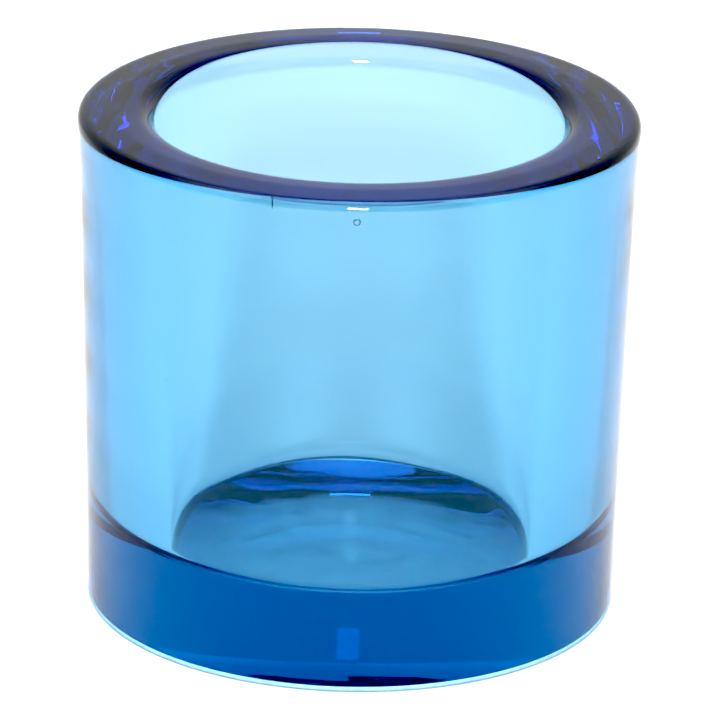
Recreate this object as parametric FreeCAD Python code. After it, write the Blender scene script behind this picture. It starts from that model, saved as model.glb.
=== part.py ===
import FreeCAD, Part
import math
import os

# Votive candle holder: one heavy tumbler of pressed glass, fire-polished at the rim.
# The wall, the rim and the floor are a single pour, so the holder is one solid of
# revolution about the Z axis. Units are millimetres, and Z = 0 is the plane that
# the holder stands on.

# ---------------------------------------------------------------- overall sizes
HEIGHT = 60.0          # foot to the top of the rim
RIM_DIAMETER = 65.6    # outside, over the rim's edge before it is rounded
FOOT_DIAMETER = 62.2   # outside, over the foot's edge before it is rounded

# ---------------------------------------------------------------- glass thicknesses
RIM_WALL = 9.1         # across the rim
FLOOR_WALL = 9.7       # across the wall where it meets the well's floor
FLOOR = 7.8            # under the middle of the well

# ---------------------------------------------------------------- floor of the well
FLOOR_LEVEL_DIAMETER = 12.0    # the middle of the floor is level over this width
FLOOR_RISE = 2.0               # from there it dishes up to the wall by this much

# ---------------------------------------------------------------- rim
RIM_SWELL = 0.3        # how far the soft rim stands out past the line of the wall
RIM_DEPTH = 7.0        # height over which the wall swells out into the rim
RIM_CROWN = 0.2        # rise of the rim's top above its two edges
RIM_OUTER_ROUND = 1.0
RIM_INNER_ROUND = 2.7

# ---------------------------------------------------------------- other edges
WELL_CORNER_ROUND = 1.5    # between the well's wall and its floor
FOOT_ROUND = 1.0

# ---------------------------------------------------------------- worked-out places
RIM_EDGE_HEIGHT = HEIGHT - RIM_CROWN
NECK_HEIGHT = HEIGHT - RIM_DEPTH
WALL_TOP_RADIUS = RIM_DIAMETER / 2 - RIM_SWELL
WELL_CORNER_HEIGHT = FLOOR + FLOOR_RISE
# The two rounds of the rim leave a crest between them, however thin the wall is.
OUTER_ROUND_LIMIT = 0.35 * RIM_WALL
INNER_ROUND_LIMIT = 0.45 * RIM_WALL


def point(radius, height):
    """A point in the half plane that the section is drawn in."""
    return FreeCAD.Vector(radius, 0, height)


def line(start, end):
    return Part.LineSegment(start, end).toShape()


def arc(start, middle, end):
    return Part.Arc(start, middle, end).toShape()


def wall_radius(height):
    """Outside radius of the straight wall, which flares a little from foot to rim."""
    share = height / RIM_EDGE_HEIGHT
    return FOOT_DIAMETER / 2 + share * (WALL_TOP_RADIUS - FOOT_DIAMETER / 2)


def section_corners():
    """The sharp corners of the section, each under its own name."""
    rim_radius = RIM_DIAMETER / 2
    mouth_radius = rim_radius - RIM_WALL
    well_radius = wall_radius(WELL_CORNER_HEIGHT) - FLOOR_WALL
    return {
        "foot": point(FOOT_DIAMETER / 2, 0),
        "neck": point(wall_radius(NECK_HEIGHT), NECK_HEIGHT),
        "rim_outer": point(rim_radius, RIM_EDGE_HEIGHT),
        "rim_crest": point((rim_radius + mouth_radius) / 2, HEIGHT),
        "rim_inner": point(mouth_radius, RIM_EDGE_HEIGHT),
        "well_corner": point(well_radius, WELL_CORNER_HEIGHT),
        "floor_level": point(FLOOR_LEVEL_DIAMETER / 2, FLOOR),
    }


def swell_middle():
    """Half way up the swell: a quarter of it there makes the arc start along the wall."""
    height = (NECK_HEIGHT + RIM_EDGE_HEIGHT) / 2
    return point(wall_radius(height) + RIM_SWELL / 4, height)


def dish_middle(level, corner):
    """Half way along the arc that leaves the level floor without a kink and ends at the
    well's corner: a chord turns by half of what its arc does."""
    width = corner.x - level.x
    radius = (width ** 2 + FLOOR_RISE ** 2) / (2 * FLOOR_RISE)
    half_turn = math.atan2(FLOOR_RISE, width)
    return point(level.x + radius * math.sin(half_turn), FLOOR + radius * (1 - math.cos(half_turn)))


def sharp_section(corners):
    """Half of the holder's section, closed along the axis, with its edges still sharp."""
    floor_centre = point(0, FLOOR)
    foot_centre = point(0, 0)
    dish = dish_middle(corners["floor_level"], corners["well_corner"])
    edges = [
        line(foot_centre, corners["foot"]),
        line(corners["foot"], corners["neck"]),
        arc(corners["neck"], swell_middle(), corners["rim_outer"]),
        arc(corners["rim_outer"], corners["rim_crest"], corners["rim_inner"]),
        line(corners["rim_inner"], corners["well_corner"]),
        arc(corners["well_corner"], dish, corners["floor_level"]),
        line(corners["floor_level"], floor_centre),
        line(floor_centre, foot_centre),
    ]
    return Part.Face(Part.Wire(edges))


def circle_at(solid, corner):
    """The circular edge that a corner of the section sweeps out."""
    def miss(edge):
        if not isinstance(edge.Curve, Part.Circle):
            return math.inf
        return abs(edge.Curve.Radius - corner.x) + abs(edge.Curve.Center.z - corner.z)
    return min(solid.Edges, key=miss)


def glass_body():
    corners = section_corners()
    axis_foot = FreeCAD.Vector(0, 0, 0)
    axis = FreeCAD.Vector(0, 0, 1)
    solid = sharp_section(corners).revolve(axis_foot, axis, 360)
    rounds = {
        "rim_outer": min(RIM_OUTER_ROUND, OUTER_ROUND_LIMIT),
        "rim_inner": min(RIM_INNER_ROUND, INNER_ROUND_LIMIT),
        "well_corner": WELL_CORNER_ROUND,
        "foot": FOOT_ROUND,
    }
    for name, radius in rounds.items():
        solid = solid.makeFillet(radius, [circle_at(solid, corners[name])])
    return solid


holder = glass_body()
box = holder.optimalBoundingBox()
print("valid", holder.isValid(), "solids", len(holder.Solids))
print("size", round(box.XLength, 2), round(box.YLength, 2), round(box.ZLength, 2))
print("volume", round(holder.Volume, 1))

os.makedirs("parts", exist_ok=True)
holder.exportStep("parts/glass_body.step")
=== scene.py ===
import math

import bpy
import numpy as np
from mathutils import Matrix, Vector


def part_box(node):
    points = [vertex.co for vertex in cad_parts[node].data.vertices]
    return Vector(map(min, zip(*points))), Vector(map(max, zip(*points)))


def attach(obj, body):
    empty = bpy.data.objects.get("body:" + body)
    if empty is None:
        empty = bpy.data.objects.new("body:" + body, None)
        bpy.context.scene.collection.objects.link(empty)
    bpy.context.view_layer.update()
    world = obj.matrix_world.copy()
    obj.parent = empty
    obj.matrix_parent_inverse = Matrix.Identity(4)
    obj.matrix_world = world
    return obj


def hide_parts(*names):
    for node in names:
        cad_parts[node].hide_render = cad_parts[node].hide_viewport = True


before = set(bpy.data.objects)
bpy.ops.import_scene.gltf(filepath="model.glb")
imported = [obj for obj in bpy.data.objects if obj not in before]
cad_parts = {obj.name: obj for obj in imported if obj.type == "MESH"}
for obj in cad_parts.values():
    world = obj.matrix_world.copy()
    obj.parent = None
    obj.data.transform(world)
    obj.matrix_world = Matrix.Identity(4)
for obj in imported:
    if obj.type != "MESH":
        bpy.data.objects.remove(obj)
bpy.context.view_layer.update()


# ---- Camera ---------------------------------------------------------------------
# A long lens on a tripod, a little above the holder and tipped down at it, with the
# horizon a touch off level.
foot_low, rim_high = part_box("glass_body")
height = rim_high[2] - foot_low[2]

camera_distance = 12.46 * height
camera_elevation = 0.3605
camera_roll = 0.0218
aim_across = 0.011 * height
aim_up = 0.4842 * height
sensor_width = 36.0
lens_length = 317.4
view_depth = 100.0

aim = Vector((aim_across, 0.0, aim_up))


def facing(place, target):
    """The matrix of a camera or lamp at a place, with its -Z axis towards the target and
    its Y axis as near upright as that allows."""
    turn = (place - target).to_track_quat("Z", "Y").to_matrix().to_4x4()
    return Matrix.Translation(place) @ turn


camera_data = bpy.data.cameras.new("camera")
camera_data.sensor_width = sensor_width
camera_data.lens = lens_length
camera_data.clip_end = view_depth
camera = bpy.data.objects.new("camera", camera_data)
bpy.context.scene.collection.objects.link(camera)
back_along_lens = Vector((0.0, -math.cos(camera_elevation), math.sin(camera_elevation)))
camera_place = aim + camera_distance * back_along_lens
camera.matrix_world = facing(camera_place, aim) @ Matrix.Rotation(camera_roll, 4, "Z")
bpy.context.scene.camera = camera


# ---- Glass body -----------------------------------------------------------------
# The whole holder is one pour of turquoise glass, pressed in an iron mould and
# fire-polished, so its edges are soft, its walls carry slow waves and faint rings from
# the cold plunger, and the heavy floor shows a much deeper blue.
rim_corner_radius = 0.0328
foot_radius = 0.0311
rim_swell = 0.0003
rim_depth = 0.007
rim_wall = 0.0091
floor_wall = 0.0097
floor_thickness = 0.0078
floor_rise = 0.002
floor_bend_radius = 0.0135
floor_bend = 0.052
rim_crown = 0.0001
crest_lift = 0.0001
crest_round = 0.012
neck_round = 0.05
rim_outer_round = 0.0010
rim_inner_round = 0.0027
well_corner_round = 0.0015
foot_round = 0.0004
section_step = 0.0005
turns = 256

rim_edge = height - rim_crown
neck_height = height - rim_depth
wall_top_radius = rim_corner_radius - rim_swell
mouth_radius = rim_corner_radius - rim_wall


def wall_radius(z):
    """Radius of the straight outside wall at a height: it flares evenly, foot to rim."""
    return foot_radius + (wall_top_radius - foot_radius) * z / rim_edge


def corner_arc(before, here, after, step):
    """Points on the arc that turns a corner (r, z, radius) and meets the straight runs on
    both sides of it. The arc starts radius times tan(turn / 2) short of the corner."""
    tip = np.array(here[:2])
    radius = here[2]
    arrive = tip - np.array(before[:2])
    leave = np.array(after[:2]) - tip
    arrive /= np.linalg.norm(arrive)
    leave /= np.linalg.norm(leave)
    turn = math.atan2(arrive[0] * leave[1] - arrive[1] * leave[0], arrive @ leave)
    trim = radius * math.tan(abs(turn) / 2)
    side = math.copysign(1.0, turn) * np.array([-arrive[1], arrive[0]])
    centre = tip - trim * arrive + radius * side
    count = max(4, int(abs(turn) * radius / step))
    angle = np.linspace(0.0, abs(turn), count)[:, None]
    return centre - radius * side * np.cos(angle) + radius * arrive * np.sin(angle)


def rounded_path(corners, step):
    """Points about a step apart along a path of straight runs between its corners, with
    each corner but the first and the last turned on its arc."""
    arcs = [corner_arc(*three, step) for three in zip(corners, corners[1:], corners[2:])]
    stretches = [np.array([corners[0][:2]]), *arcs, np.array([corners[-1][:2]])]
    points = [stretches[0]]
    for start, end in zip(stretches, stretches[1:]):
        gap = end[0] - start[-1]
        count = max(2, int(np.linalg.norm(gap) / step))
        share = np.linspace(0.0, 1.0, count, endpoint=False)[1:, None]
        points += [start[-1] + gap * share, end]
    return np.concatenate(points)


def rise(low, high, value):
    """An S-shaped step: 0 below low, 1 above high, and 3t^2 - 2t^3 between them, where t
    is the share of the way."""
    t = np.clip((value - low) / (high - low), 0.0, 1.0)
    return t * t * (3.0 - 2.0 * t)


# How far each kind of wave moves the surface, and the pairs of heights or radii between
# which the waves fade in or out.
broad_lobe = 0.000018
narrow_lobe = 0.000010
long_wave = 0.000010
chill_ring = 0.000005
well_broad_lobe = 0.000022
well_narrow_lobe = 0.000012
plunger_drag = 0.0000015
floor_dimple = 0.000006
above_foot = (0.002, 0.010)
below_rim = (0.052, 0.058)
chilled = (0.044, 0.050)
above_well_floor = (0.011, 0.018)
below_mouth = (0.050, 0.057)
off_floor_middle = (0.0, 0.003)
near_well_wall = (0.017, 0.020)


def outer_waves(angle, z):
    """Slow lobes round the outside, long waves up it, and a few close rings under the rim
    where the glass chilled first: sines of angle and height that fade out at both ends."""
    lobes = broad_lobe * np.sin(3 * angle + 0.8 + 70 * z) + narrow_lobe * np.sin(7 * angle - 90 * z)
    waves = long_wave * np.sin(700 * z + 1.5 * np.sin(2 * angle))
    rings = chill_ring * np.sin(2300 * z + 0.6 * np.sin(3 * angle)) * rise(*chilled, z)
    return (lobes + waves + rings) * rise(*above_foot, z) * (1 - rise(*below_rim, z))


def inner_waves(angle, z):
    """Waves of the well's wall: two and five lobes round it that lean as they climb, and
    drag marks that follow the plunger up."""
    broad = well_broad_lobe * np.sin(2 * angle + 2.1 - 60 * z)
    narrow = well_narrow_lobe * np.sin(5 * angle + 50 * z)
    drags = plunger_drag * np.sin(23 * angle + 8 * np.sin(40 * z))
    return (broad + narrow + drags) * rise(*above_well_floor, z) * (1 - rise(*below_mouth, z))


def floor_waves(angle, r):
    """Shallow uneven dimples of the well's floor, as heights: three sets of crossing
    ridges that die out at the wall and in the very middle."""
    x = r * np.cos(angle)
    y = r * np.sin(angle)
    ridges = np.sin(900 * x + 300 * y) + np.sin(760 * y - 420 * x + 1.0) + np.sin(1300 * y + 500 * x + 2.0)
    return floor_dimple * ridges * (1 - rise(*near_well_wall, r)) * rise(*off_floor_middle, r)


def angles_round(steps):
    """Evenly spaced angles of one whole turn, as a row."""
    return np.linspace(0.0, 2 * math.pi, steps, endpoint=False)[None, :]


def round_axis(r, z, angle):
    """Points of radius r and height z, carried round the axis to each angle: x is r times
    its cosine and y is r times its sine. They are listed ring by ring."""
    points = np.broadcast_arrays(r * np.cos(angle), r * np.sin(angle), z)
    return np.stack(points, axis=2).reshape(-1, 3)


# The well's floor ends at this radius and height, and the outside wall lies beyond this
# radius.
floor_reach = 0.021
floor_top = 0.0095
outside_from = 0.030


def waved_tumbler(path, steps):
    """The section's path (r, z) carried round the axis, each point moved out by the waves
    of the wall that it is on, or up by those of the floor. The path starts and ends on
    the axis, at one vertex each."""
    angle = angles_round(steps)
    r = path[1:-1, :1]
    z = path[1:-1, 1:]
    row = np.arange(len(r))[:, None]
    top_row = np.argmax(z)
    inside = row > top_row
    on_floor = inside & (r < floor_reach) & (z < floor_top)
    outside = (row < top_row) & (r > outside_from)
    shift = np.where(outside, outer_waves(angle, z), 0.0)
    shift = np.where(inside & ~on_floor, inner_waves(angle, z), shift)
    lift = np.where(on_floor, floor_waves(angle, r), 0.0)
    poles = [[0.0, 0.0, path[0, 1]], [0.0, 0.0, path[-1, 1]]]
    return np.concatenate([round_axis(r + shift, z + lift, angle), poles])


def ring_faces(rows, steps):
    """Faces of a closed surface of rings: four-sided ones between the rings, and
    triangles from the first and the last ring to the two poles, which come last."""
    here = np.arange(steps)
    after = (here + 1) % steps
    base = (np.arange(rows - 1) * steps)[:, None]
    quads = np.stack([base + here, base + after, base + steps + after, base + steps + here], axis=2)
    top = (rows - 1) * steps
    first = np.stack([np.full(steps, rows * steps), after, here], axis=1)
    last = np.stack([np.full(steps, rows * steps + 1), top + here, top + after], axis=1)
    return quads.reshape(-1, 4).tolist() + first.tolist() + last.tolist()


def smooth_piece(name, verts, faces):
    """A piece in the scene from its vertices and faces, shaded smooth."""
    mesh = bpy.data.meshes.new(name)
    mesh.from_pydata(verts.tolist(), [], faces)
    mesh.polygons.foreach_set("use_smooth", np.ones(len(mesh.polygons), dtype=bool))
    mesh.update()
    piece = bpy.data.objects.new(name, mesh)
    bpy.context.scene.collection.objects.link(piece)
    return piece


class Field:
    """One socket of a node tree, such as a number that varies over a surface. Sums on it
    add Math nodes, and node() adds any other kind."""

    def __init__(self, tree, socket=None):
        self.tree = tree
        self.socket = socket

    def feed(self, target):
        """Links this value into a socket."""
        self.tree.links.new(self.socket, target)

    def node(self, kind, settings, inputs, output=0):
        """Adds a node, sets it up, then fills its sockets with plain values or links."""
        made = self.tree.nodes.new(kind)
        for name, value in settings.items():
            setattr(made, name, value)
        for name, value in inputs.items():
            if isinstance(value, Field):
                value.feed(made.inputs[name])
            else:
                made.inputs[name].default_value = value
        return Field(self.tree, made.outputs[output])

    def maths(self, operation, *others):
        """A Math node on this value and any others, in that order."""
        return self.node("ShaderNodeMath", {"operation": operation}, dict(enumerate((self,) + others)))

    def __add__(self, other):
        return self.maths("ADD", other)

    def __sub__(self, other):
        return self.maths("SUBTRACT", other)

    def __rsub__(self, other):
        return self.maths("MULTIPLY", -1.0).maths("ADD", other)

    def __mul__(self, other):
        return self.maths("MULTIPLY", other)

    __radd__ = __add__
    __rmul__ = __mul__

    def rise(self, low, high):
        """The S-shaped step from 0 at low to 1 at high, or from 1 to 0 where high is less."""
        return self.node("ShaderNodeMapRange", {"interpolation_type": "SMOOTHSTEP"},
                         {0: self, 1: low, 2: high})

    def part(self, axis):
        """The x, y or z of a vector, as axis 0, 1 or 2."""
        return self.node("ShaderNodeSeparateXYZ", {}, {0: self}, axis)

    def noise(self, scale, detail):
        """Smooth noise from 0 to 1 over this place, its patches about 1 / scale metres wide."""
        return self.node("ShaderNodeTexNoise", {}, {"Vector": self, "Scale": scale, "Detail": detail})

    def colour(self, at_zero, at_one):
        """The colour that goes evenly from one to the other as this value goes from 0 to 1."""
        return self.node("ShaderNodeMix", {"data_type": "RGBA"}, {0: self, 6: at_zero, 7: at_one}, 2)


def shader_socket(material, name):
    """A socket of the material's shader, by its name."""
    return material.node_tree.nodes["Principled BSDF"].inputs[name]


def new_finish(name, plain_values):
    """A new material, with the values that are the same all over it set on its shader."""
    material = bpy.data.materials.new(name)
    material.use_nodes = True
    for socket, value in plain_values.items():
        shader_socket(material, socket).default_value = value
    return material


def place_on(material):
    """The place on the piece that wears a material, in metres from the origin."""
    return Field(material.node_tree).node("ShaderNodeTexCoord", {}, {}, "Object")


# The glass and its skin, then the marks on it. Each pair says where a mark has faded out,
# and where it shows in full.
refractive_index = 1.5
absorption_colour = (0.0, 0.598, 0.835, 1)
absorption_density = 82.0
peel_scale = 300
peel_strength = 0.008
peel_depth = 0.0002
untinted = (1, 1, 1, 1)
stopped_light = (0.07, 0.05, 0.08, 1)
marked_front = (-0.010, -0.012)

pit_scale = 2200
pit_peaks = (0.74, 0.76)
pit_heights = (0.0570, 0.0590)
pit_roughness = 0.5

cloud_scale = 260
cloud_patches = (0.4, 0.7)
cloud_edge = (0.0306, 0.0300)
cloud_height = (0.0001, 0.00005)
cloud_strength = 0.22

crack_place = -0.0095
crack_line = (0.00010, 0.00005)
crack_foot = (0.0586, 0.0588)
crack_head = (0.0600, 0.0598)

scratch_centre = (-0.0244, 0.0612)
scratch_radius = 0.0041
scratch_line = (0.00006, 0.00002)
scratch_end = (-0.0240, -0.0250)
scratch_top = (0.0596, 0.0592)
scratch_strength = 0.6


def rim_pits(place):
    """Tiny pits in the top of the rim: only the peaks of a fine noise, near the top."""
    return place.noise(pit_scale, 1).rise(*pit_peaks) * place.part(2).rise(*pit_heights)


def underside_cloud(place):
    """A patchy haze over the underside, out to the foot's edge: noise, kept to a disc."""
    x, y, z = place.part(0), place.part(1), place.part(2)
    disc = (x * x + y * y).maths("SQRT").rise(*cloud_edge) * z.rise(*cloud_height)
    return disc * place.noise(cloud_scale, 3).rise(*cloud_patches)


def hairline_crack(place):
    """A thin upright line in the rim: what is near enough to one x, between two heights."""
    x, z = place.part(0), place.part(2)
    line = (x - crack_place).maths("ABSOLUTE").rise(*crack_line)
    return line * z.rise(*crack_foot) * z.rise(*crack_head)


def curved_scratch(place):
    """A thin arc under the rim: what is near enough to one distance from a centre, less
    the part of the circle past its end and above its top."""
    x, z = place.part(0), place.part(2)
    across, up = x - scratch_centre[0], z - scratch_centre[1]
    from_arc = ((across * across + up * up).maths("SQRT") - scratch_radius).maths("ABSOLUTE")
    return from_arc.rise(*scratch_line) * x.rise(*scratch_end) * z.rise(*scratch_top)


def turquoise_glass():
    """Clear glass with an even absorption: it takes most of the red, some of the green and
    little of the blue, per metre. The skin is fire-polished, with a fine orange peel, a few
    pits on the rim and a faintly clouded underside. A hairline crack and a curved scratch
    stop most of the light that meets them."""
    material = new_finish("turquoise_glass", {"IOR": refractive_index, "Transmission Weight": 1.0})
    tree = material.node_tree
    absorb = tree.nodes.new("ShaderNodeVolumeAbsorption")
    absorb.inputs["Color"].default_value = absorption_colour
    absorb.inputs["Density"].default_value = absorption_density
    tree.links.new(absorb.outputs["Volume"], tree.nodes["Material Output"].inputs["Volume"])

    place = place_on(material)
    roughness = rim_pits(place) * pit_roughness
    roughness.feed(shader_socket(material, "Roughness"))

    marks = hairline_crack(place) + curved_scratch(place) * scratch_strength
    marks = marks * place.part(1).rise(*marked_front)
    stopped = marks.maths("MAXIMUM", underside_cloud(place) * cloud_strength)
    tint = stopped.colour(untinted, stopped_light)
    tint.feed(shader_socket(material, "Base Color"))

    peel = {"Strength": peel_strength, "Distance": peel_depth, "Height": place.noise(peel_scale, 2)}
    bump = place.node("ShaderNodeBump", {}, peel)
    bump.feed(shader_socket(material, "Normal"))
    return material


outline = [
    (0.0, 0.0, 0.0),
    (foot_radius, 0.0, foot_round),
    (wall_radius(neck_height), neck_height, neck_round),
    (rim_corner_radius, rim_edge, rim_outer_round),
    (rim_corner_radius - rim_wall / 2, height + crest_lift, crest_round),
    (mouth_radius, rim_edge, rim_inner_round),
    (wall_radius(floor_thickness) - floor_wall, floor_thickness + floor_rise, well_corner_round),
    (floor_bend_radius, floor_thickness, floor_bend),
    (0.0, floor_thickness, 0.0),
]
section = rounded_path(outline, section_step)
glass = smooth_piece("glass_tumbler", waved_tumbler(section, turns), ring_faces(len(section) - 2, turns))
glass.data.materials.append(turquoise_glass())
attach(glass, "root")
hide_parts("glass_body")


# ---- Ground foot edge -----------------------------------------------------------
# The sharp lip that the mould leaves round the foot is ground away, which leaves a
# narrow frosted line all round the wall just above the table.
lip_low = 0.00016
lip_high = 0.00066
lip_depth = 0.00030
lip_proud = 0.00003
ground_roughness = 0.6
grain_scale = 1500
grain_spread = (0.35, 0.65)
deep_cut = (0.30, 0.62, 0.78, 1)
light_cut = (0.42, 0.74, 0.88, 1)


def lip_band(low, high, steps):
    """A closed ring: a small six-sided section, bowed outwards, carried round the axis.
    Its inner side lies in the glass and its outer side just proud of the wall."""
    middle = (low + high) / 2
    inner = foot_radius - lip_depth
    outer = foot_radius + lip_proud
    loop = np.array([(inner, low), (outer, low), (outer + lip_proud, middle), (outer, high),
                     (inner, high), (inner, middle)])
    verts = round_axis(loop[:, :1], loop[:, 1:], angles_round(steps))
    side = np.arange(len(loop))[:, None]
    this_ring = side * steps
    next_ring = (side + 1) % len(loop) * steps
    here = np.arange(steps)[None, :]
    after = (here + 1) % steps
    quads = np.stack([this_ring + here, this_ring + after, next_ring + after, next_ring + here], axis=2)
    return verts, quads.reshape(-1, 4).tolist()


def ground_glass():
    """Frosted glass: pale turquoise and rough, with a fine noise in its tone where the
    wheel bit deeper."""
    material = new_finish("ground_glass", {"Roughness": ground_roughness})
    grain = place_on(material).noise(grain_scale, 2).rise(*grain_spread)
    grain.colour(deep_cut, light_cut).feed(shader_socket(material, "Base Color"))
    return material


lip = smooth_piece("ground_foot_edge", *lip_band(lip_low, lip_high, turns))
lip.data.materials.append(ground_glass())
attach(lip, "root")


# ---- Seed bubbles ---------------------------------------------------------------
# Air caught in the glass as it was pressed: one round bubble close under the front of the
# rim, and a scatter of seeds no bigger than a grain of salt through the wall.
front_angle = -math.pi / 2
front_height = 0.0574
front_radius = 0.0310
front_size = 0.00042
seed_count = 26
seed_heights = (0.013, 0.053)
seed_radii = (0.0247, 0.0300)
seed_sizes = (0.00006, 0.00013)
ball_rings = 8
ball_sides = 14

scatter = np.random.default_rng(7)
bubble_angle = np.append(front_angle, scatter.uniform(0.0, 2 * math.pi, seed_count))
bubble_height = np.append(front_height, scatter.uniform(*seed_heights, seed_count))
bubble_radius = np.append(front_radius, scatter.uniform(*seed_radii, seed_count))
bubble_size = np.append(front_size, scatter.uniform(*seed_sizes, seed_count))


def ball_verts(rings, sides):
    """A ball of radius 1: a half circle from the pole below to the pole above, carried
    round its axis, with the two poles last."""
    tilt = np.linspace(-math.pi / 2, math.pi / 2, rings + 2)[1:-1, None]
    ring_verts = round_axis(np.cos(tilt), np.sin(tilt), angles_round(sides))
    return np.concatenate([ring_verts, [[0.0, 0.0, -1.0], [0.0, 0.0, 1.0]]])


def caught_air():
    """What a bubble shows: clear and smooth, with no tint of its own, bending the light
    enough to get a hard bright rim."""
    return new_finish("caught_air", {
        "Base Color": untinted,
        "Roughness": 0.0,
        "IOR": refractive_index,
        "Transmission Weight": 1.0,
    })


ball = ball_verts(ball_rings, ball_sides)
ball_faces = ring_faces(ball_rings, ball_sides)
middles = np.stack([bubble_radius * np.cos(bubble_angle), bubble_radius * np.sin(bubble_angle),
                    bubble_height], axis=1)
seed_verts = (middles[:, None, :] + bubble_size[:, None, None] * ball[None]).reshape(-1, 3)
seed_faces = [[corner + len(ball) * bubble for corner in face]
              for bubble in range(len(middles)) for face in ball_faces]
seeds = smooth_piece("seed_bubbles", seed_verts, seed_faces)
seeds.data.materials.append(caught_air())
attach(seeds, "root")


# ---- Floor ----------------------------------------------------------------------
# A plain sheet of white paper, which runs on past everything that is seen. It lies a
# hair below the foot, so that the two surfaces never share a plane.
sheet_half_width = 30.0
sheet_gap = 0.00002
paper_colour = (0.90, 0.90, 0.91, 1)
paper_roughness = 0.9


def white_paper():
    """Matt white paper, the same all over."""
    return new_finish("white_paper", {"Base Color": paper_colour, "Roughness": paper_roughness})


sheet_corners = sheet_half_width * np.array([(-1, -1, 0), (1, -1, 0), (1, 1, 0), (-1, 1, 0)])
floor = smooth_piece("paper_floor", sheet_corners - [0, 0, sheet_gap], [(0, 1, 2, 3)])
floor.data.materials.append(white_paper())


# ---- Light ----------------------------------------------------------------------
# A broad soft ceiling and a pale wall behind light the paper and the glass, in a room
# that is darker to the sides. A small lamp over the camera gives the glints.
lamp_place = Vector((0.002, -0.69, 0.36))
lamp_width = 0.10
lamp_depth = 0.07
lamp_power = 3.2

# Each edge is a pair of upward or backward shares of a direction: dark at the first, and
# in full light at the second.
ceiling_brightness = 1.2
ceiling_edge = (0.62, 0.85)
wall_brightness = 0.5
wall_side_edge = (0.0, 0.6)
wall_top_edge = (0.75, 0.60)
room_brightness = 0.04
backdrop_brightness = 1.2

film_black = (0.048, 0.045, 0.045)
film_white = (0.545, 0.545, 0.545)
light_passes = 32
mirror_passes = 16
glint_limit = 3.0

lamp_data = bpy.data.lights.new("lamp", "AREA")
lamp_data.shape = "RECTANGLE"
lamp_data.size = lamp_width
lamp_data.size_y = lamp_depth
lamp_data.energy = lamp_power
lamp_data.cycles.is_caustics_light = True
lamp = bpy.data.objects.new("lamp", lamp_data)
bpy.context.scene.collection.objects.link(lamp)
lamp.matrix_world = facing(lamp_place, aim)

glass.cycles.is_caustics_caster = True
floor.cycles.is_caustics_receiver = True

world = bpy.data.worlds.new("studio")
bpy.context.scene.world = world
world.use_nodes = True
sky = Field(world.node_tree)
background = world.node_tree.nodes["Background"]
direction = sky.node("ShaderNodeTexCoord", {}, {}, "Generated")
up, back = direction.part(2), direction.part(1)
ceiling = up.rise(*ceiling_edge) * ceiling_brightness
wall = back.rise(*wall_side_edge) * up.rise(*wall_top_edge) * wall_brightness
seen = sky.node("ShaderNodeLightPath", {}, {}, "Is Camera Ray")
brightness = (ceiling + wall + room_brightness) * (1 - seen) + backdrop_brightness * seen
brightness.feed(background.inputs["Strength"])
background.inputs["Color"].default_value = untinted

scene = bpy.context.scene
scene.view_settings.view_transform = "Standard"
scene.view_settings.use_curve_mapping = True
scene.view_settings.curve_mapping.black_level = film_black
scene.view_settings.curve_mapping.white_level = film_white
scene.view_settings.curve_mapping.update()
scene.cycles.use_denoising = True
scene.cycles.denoising_input_passes = "RGB"
scene.cycles.max_bounces = light_passes
scene.cycles.transmission_bounces = light_passes
scene.cycles.glossy_bounces = mirror_passes
scene.cycles.volume_bounces = 0
scene.cycles.sample_clamp_indirect = glint_limit
